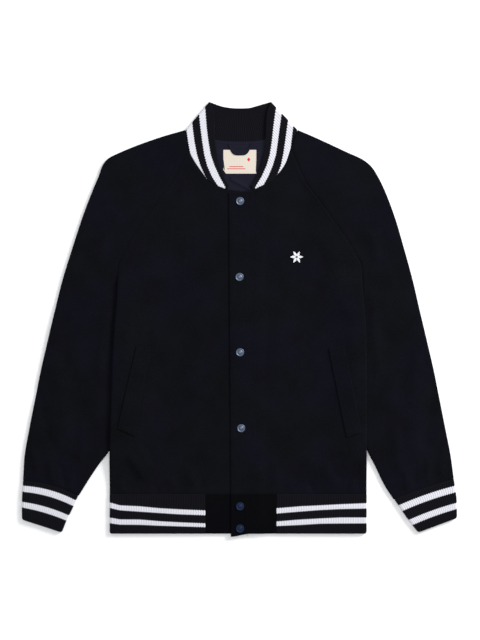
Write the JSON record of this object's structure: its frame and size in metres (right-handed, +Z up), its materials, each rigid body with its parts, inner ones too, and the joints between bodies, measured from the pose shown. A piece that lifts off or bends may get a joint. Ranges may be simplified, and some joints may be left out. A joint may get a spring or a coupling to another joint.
{
  "type": "varsity jacket",
  "caption": "Dark wool varsity jacket with raglan sleeves, snap front and rib collar, cuffs and hem, laid flat on its back with the snaps closed.",
  "frame": {"origin": "middle of the jacket's outline, on the surface it lies on", "axes": "+Z up out of the front, +Y from the hem towards the collar, +X to the wearer's left side"},
  "size_m": [0.8041, 0.8035, 0.0144],
  "materials": {
    "wool": "near-black navy melton wool with a short dull nap",
    "rib": "near-black navy rib knit with two white stripes",
    "lining": "navy satin with a soft sheen",
    "label": null,
    "snap_pewter": "blue-grey pewter, satin",
    "snap_enamel": "dark navy enamel, satin"
  },
  "bodies": {
    "root": {"back_panel": "wool", "front_left": "wool", "front_right": "wool", "sleeve_left": "wool", "sleeve_right": "wool", "hem_tab_left": "wool", "hem_tab_right": "wool", "pocket_welt_left": "wool", "pocket_welt_right": "wool", "cuff_left": "rib", "cuff_right": "rib", "hem_rib": "rib", "collar_rib": "rib", "neck_lining": "lining", "hanger_loop": "lining", "neck_label": "label", "snap_1": "snap_pewter", "snap_2": "snap_pewter", "snap_3": "snap_pewter", "snap_4": "snap_pewter", "snap_5": "snap_enamel", "snap_6": "snap_enamel"}
  },
  "joints": []
}
